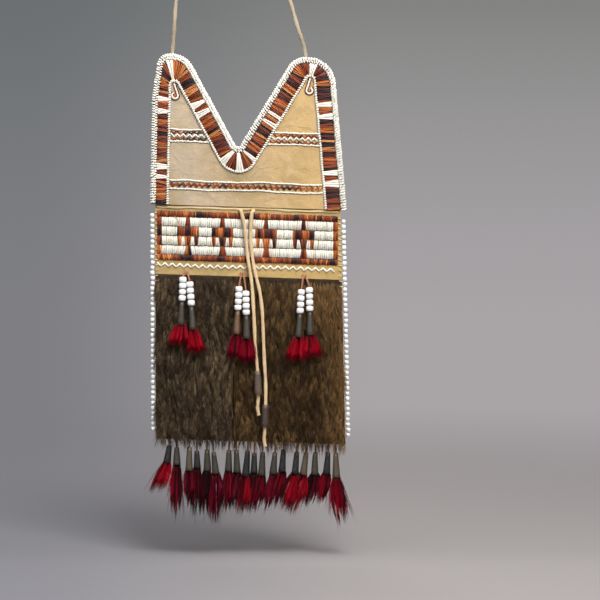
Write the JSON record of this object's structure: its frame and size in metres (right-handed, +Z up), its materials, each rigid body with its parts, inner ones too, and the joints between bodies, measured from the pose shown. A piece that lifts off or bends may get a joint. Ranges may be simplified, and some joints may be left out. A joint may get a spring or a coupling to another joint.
{
  "type": "quilled bag",
  "caption": "Hide bag with a notched yoke, quillwork borders, a quilled band of stepped birds, fur front, bead edging, tin-cone tassels and a hanging thong.",
  "frame": {"origin": "top of the strap's loop, where the bag hangs", "axes": "+Z up, +X to the viewer's right, front faces -Y"},
  "size_m": [0.18, 0.0227, 0.5725],
  "materials": {
    "hide": "brain-tanned hide, matt and lightly soiled",
    "thong": "cut hide thong, matt",
    "white_quill": "flattened porcupine quill, undyed, soft sheen",
    "brown_quill": "flattened porcupine quill, dyed brown and orange",
    "fur": "short dense brown fur",
    "white_beads": "glossy opaque white glass",
    "tin": "rolled tinplate, dull and aged",
    "red_hair": "dyed red animal hair"
  },
  "bodies": {
    "bag": {"back_panel": "hide", "band_figures": "brown_quill", "band_ground": "white_quill", "band_panel": "hide", "band_zigzag": "white_quill", "fur_left": "fur", "fur_right": "fur", "left_bead_string": "white_beads", "left_hook": "white_quill", "left_tab_zigzag": "white_quill", "lower_zigzag_row": "white_quill", "right_bead_string": "white_beads", "right_hook": "white_quill", "right_tab_zigzag": "white_quill", "strap": "thong", "tie_cone_left": "tin", "tie_cone_right": "tin", "tie_left": "thong", "tie_right": "thong", "yoke_edging": "white_quill", "yoke_inner_line": "white_quill", "yoke_panel": "hide", "yoke_quill_border": "brown_quill"},
    "dangle_1_left_body": {"dangle_1_left_beads": "white_beads", "dangle_1_left_cone": "tin", "dangle_1_left_hair": "red_hair"},
    "dangle_1_right_body": {"dangle_1_right_beads": "white_beads", "dangle_1_right_cone": "tin", "dangle_1_right_hair": "red_hair"},
    "dangle_2_left_body": {"dangle_2_left_beads": "white_beads", "dangle_2_left_cone": "tin", "dangle_2_left_hair": "red_hair"},
    "dangle_2_right_body": {"dangle_2_right_beads": "white_beads", "dangle_2_right_cone": "tin", "dangle_2_right_hair": "red_hair"},
    "dangle_3_left_body": {"dangle_3_left_beads": "white_beads", "dangle_3_left_cone": "tin", "dangle_3_left_hair": "red_hair"},
    "dangle_3_right_body": {"dangle_3_right_beads": "white_beads", "dangle_3_right_cone": "tin", "dangle_3_right_hair": "red_hair"},
    "tassel_01_body": {"tassel_01": "red_hair"},
    "tassel_02_body": {"tassel_02": "red_hair"},
    "tassel_03_body": {"tassel_03": "red_hair"},
    "tassel_04_body": {"tassel_04": "red_hair"},
    "tassel_05_body": {"tassel_05": "red_hair"},
    "tassel_06_body": {"tassel_06": "red_hair"},
    "tassel_07_body": {"tassel_07": "red_hair"},
    "tassel_08_body": {"tassel_08": "red_hair"},
    "tassel_09_body": {"tassel_09": "red_hair"},
    "tassel_10_body": {"tassel_10": "red_hair"},
    "tassel_11_body": {"tassel_11": "red_hair"},
    "tassel_12_body": {"tassel_12": "red_hair"},
    "tassel_13_body": {"tassel_13": "red_hair"},
    "tassel_14_body": {"tassel_14": "red_hair"},
    "tassel_15_body": {"tassel_15": "red_hair"},
    "tassel_16_body": {"tassel_16": "red_hair"},
    "tassel_17_body": {"tassel_17": "red_hair"},
    "tassel_18_body": {"tassel_18": "red_hair"}
  },
  "joints": [
    {"name": "dangle_1_left_swing", "type": "hinge", "parent": "bag", "child": "dangle_1_left_body", "pos_m": [-0.0383, -0.00235, -0.33845], "axis": [-1, 0, 0], "range_deg": [0, 120]},
    {"name": "dangle_1_right_swing", "type": "hinge", "parent": "bag", "child": "dangle_1_right_body", "pos_m": [-0.0359, -0.00235, -0.33853], "axis": [-1, 0, 0], "range_deg": [0, 120]},
    {"name": "dangle_2_left_swing", "type": "hinge", "parent": "bag", "child": "dangle_2_left_body", "pos_m": [0.012, -0.00235, -0.34006], "axis": [-1, 0, 0], "range_deg": [0, 120]},
    {"name": "dangle_2_right_swing", "type": "hinge", "parent": "bag", "child": "dangle_2_right_body", "pos_m": [0.0144, -0.00235, -0.34014], "axis": [-1, 0, 0], "range_deg": [0, 120]},
    {"name": "dangle_3_left_swing", "type": "hinge", "parent": "bag", "child": "dangle_3_left_body", "pos_m": [0.0675, -0.00235, -0.34184], "axis": [-1, 0, 0], "range_deg": [0, 120]},
    {"name": "dangle_3_right_swing", "type": "hinge", "parent": "bag", "child": "dangle_3_right_body", "pos_m": [0.0701, -0.00235, -0.34192], "axis": [-1, 0, 0], "range_deg": [0, 120]},
    {"name": "tassel_01_swing", "type": "hinge", "parent": "bag", "child": "tassel_01_body", "pos_m": [-0.0527, 0.0009, -0.49164], "axis": [-1, 0, 0], "range_deg": [-80, 65]},
    {"name": "tassel_02_swing", "type": "hinge", "parent": "bag", "child": "tassel_02_body", "pos_m": [-0.0468, 0.0009, -0.49183], "axis": [-1, 0, 0], "range_deg": [-80, 65]},
    {"name": "tassel_03_swing", "type": "hinge", "parent": "bag", "child": "tassel_03_body", "pos_m": [-0.035, 0.0009, -0.49221], "axis": [-1, 0, 0], "range_deg": [-80, 65]},
    {"name": "tassel_04_swing", "type": "hinge", "parent": "bag", "child": "tassel_04_body", "pos_m": [-0.0286, 0.0009, -0.49241], "axis": [-1, 0, 0], "range_deg": [-80, 65]},
    {"name": "tassel_05_swing", "type": "hinge", "parent": "bag", "child": "tassel_05_body", "pos_m": [-0.0194, 0.0009, -0.49271], "axis": [-1, 0, 0], "range_deg": [-80, 65]},
    {"name": "tassel_06_swing", "type": "hinge", "parent": "bag", "child": "tassel_06_body", "pos_m": [-0.0142, 0.0009, -0.49288], "axis": [-1, 0, 0], "range_deg": [-80, 65]},
    {"name": "tassel_07_swing", "type": "hinge", "parent": "bag", "child": "tassel_07_body", "pos_m": [0.0007, 0.0009, -0.49335], "axis": [-1, 0, 0], "range_deg": [-80, 65]},
    {"name": "tassel_08_swing", "type": "hinge", "parent": "bag", "child": "tassel_08_body", "pos_m": [0.0072, 0.0009, -0.49356], "axis": [-1, 0, 0], "range_deg": [-80, 65]},
    {"name": "tassel_09_swing", "type": "hinge", "parent": "bag", "child": "tassel_09_body", "pos_m": [0.018, 0.0009, -0.4939], "axis": [-1, 0, 0], "range_deg": [-80, 65]},
    {"name": "tassel_10_swing", "type": "hinge", "parent": "bag", "child": "tassel_10_body", "pos_m": [0.0239, 0.0009, -0.49409], "axis": [-1, 0, 0], "range_deg": [-80, 65]},
    {"name": "tassel_11_swing", "type": "hinge", "parent": "bag", "child": "tassel_11_body", "pos_m": [0.0313, 0.0009, -0.49433], "axis": [-1, 0, 0], "range_deg": [-80, 65]},
    {"name": "tassel_12_swing", "type": "hinge", "parent": "bag", "child": "tassel_12_body", "pos_m": [0.043, 0.0009, -0.49471], "axis": [-1, 0, 0], "range_deg": [-80, 65]},
    {"name": "tassel_13_swing", "type": "hinge", "parent": "bag", "child": "tassel_13_body", "pos_m": [0.0504, 0.0009, -0.49494], "axis": [-1, 0, 0], "range_deg": [-80, 65]},
    {"name": "tassel_14_swing", "type": "hinge", "parent": "bag", "child": "tassel_14_body", "pos_m": [0.0626, 0.0009, -0.49533], "axis": [-1, 0, 0], "range_deg": [-80, 65]},
    {"name": "tassel_15_swing", "type": "hinge", "parent": "bag", "child": "tassel_15_body", "pos_m": [0.0713, 0.0009, -0.49561], "axis": [-1, 0, 0], "range_deg": [-80, 65]},
    {"name": "tassel_16_swing", "type": "hinge", "parent": "bag", "child": "tassel_16_body", "pos_m": [0.0788, 0.0009, -0.49585], "axis": [-1, 0, 0], "range_deg": [-80, 65]},
    {"name": "tassel_17_swing", "type": "hinge", "parent": "bag", "child": "tassel_17_body", "pos_m": [0.0907, 0.0009, -0.49623], "axis": [-1, 0, 0], "range_deg": [-80, 65]},
    {"name": "tassel_18_swing", "type": "hinge", "parent": "bag", "child": "tassel_18_body", "pos_m": [0.097, 0.0009, -0.49643], "axis": [-1, 0, 0], "range_deg": [-80, 65]}
  ]
}
